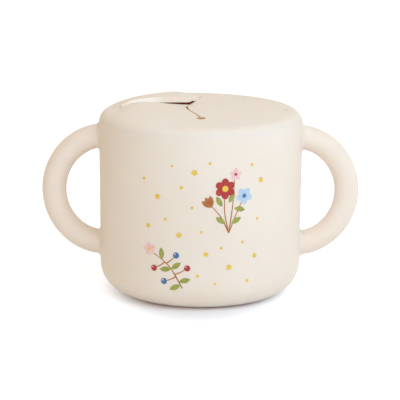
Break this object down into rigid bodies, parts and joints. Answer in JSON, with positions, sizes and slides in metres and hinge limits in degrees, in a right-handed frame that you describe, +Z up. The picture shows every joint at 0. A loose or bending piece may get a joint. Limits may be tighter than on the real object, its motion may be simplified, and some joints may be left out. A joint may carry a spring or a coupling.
{
  "type": "toddler snack container",
  "caption": "Soft silicone snack cup for a toddler, with two ring grips and a soft lift-off lid whose cross-cut flaps bend to let a hand in.",
  "frame": {"origin": "middle of the flat base, on the surface that the cup stands on", "axes": "+Z up, +X through the right grip, the front faces -Y"},
  "size_m": [0.1376, 0.088, 0.0847],
  "materials": {
    "cup_silicone": "matt moulded silicone",
    "lid_silicone": "matt moulded silicone"
  },
  "bodies": {
    "cup": {"cup": "cup_silicone", "left_grip": "cup_silicone", "right_grip": "cup_silicone"},
    "lid": {"lid": "lid_silicone"},
    "front_left_flap": {"front_left_flap": "lid_silicone"},
    "front_right_flap": {"front_right_flap": "lid_silicone"},
    "back_left_flap": {"back_left_flap": "lid_silicone"},
    "back_right_flap": {"back_right_flap": "lid_silicone"}
  },
  "joints": [
    {"name": "lid_lift", "type": "slide", "parent": "cup", "child": "lid", "axis": [0, 0, 1], "range_m": [0, 0.03]},
    {"name": "front_left_bend", "type": "hinge", "parent": "lid", "child": "front_left_flap", "pos_m": [-0.035, 0, 0.07899], "axis": [-0.8191, 0.5734, -0.0192], "range_deg": [-30, 65], "stiffness_Nm_per_rad": 0.01},
    {"name": "front_right_bend", "type": "hinge", "parent": "lid", "child": "front_right_flap", "pos_m": [0, -0.0245, 0.07981], "axis": [-0.8336, -0.552, 0.0228], "range_deg": [-30, 65], "stiffness_Nm_per_rad": 0.01},
    {"name": "back_left_bend", "type": "hinge", "parent": "lid", "child": "back_left_flap", "pos_m": [0, 0.0245, 0.07981], "axis": [0.8191, 0.5734, 0.0192], "range_deg": [-16.5, 78.5], "stiffness_Nm_per_rad": 0.01},
    {"name": "back_right_bend", "type": "hinge", "parent": "lid", "child": "back_right_flap", "pos_m": [0.037, 0, 0.0788], "axis": [0.8336, -0.552, -0.0228], "range_deg": [-30, 65], "stiffness_Nm_per_rad": 0.01}
  ]
}
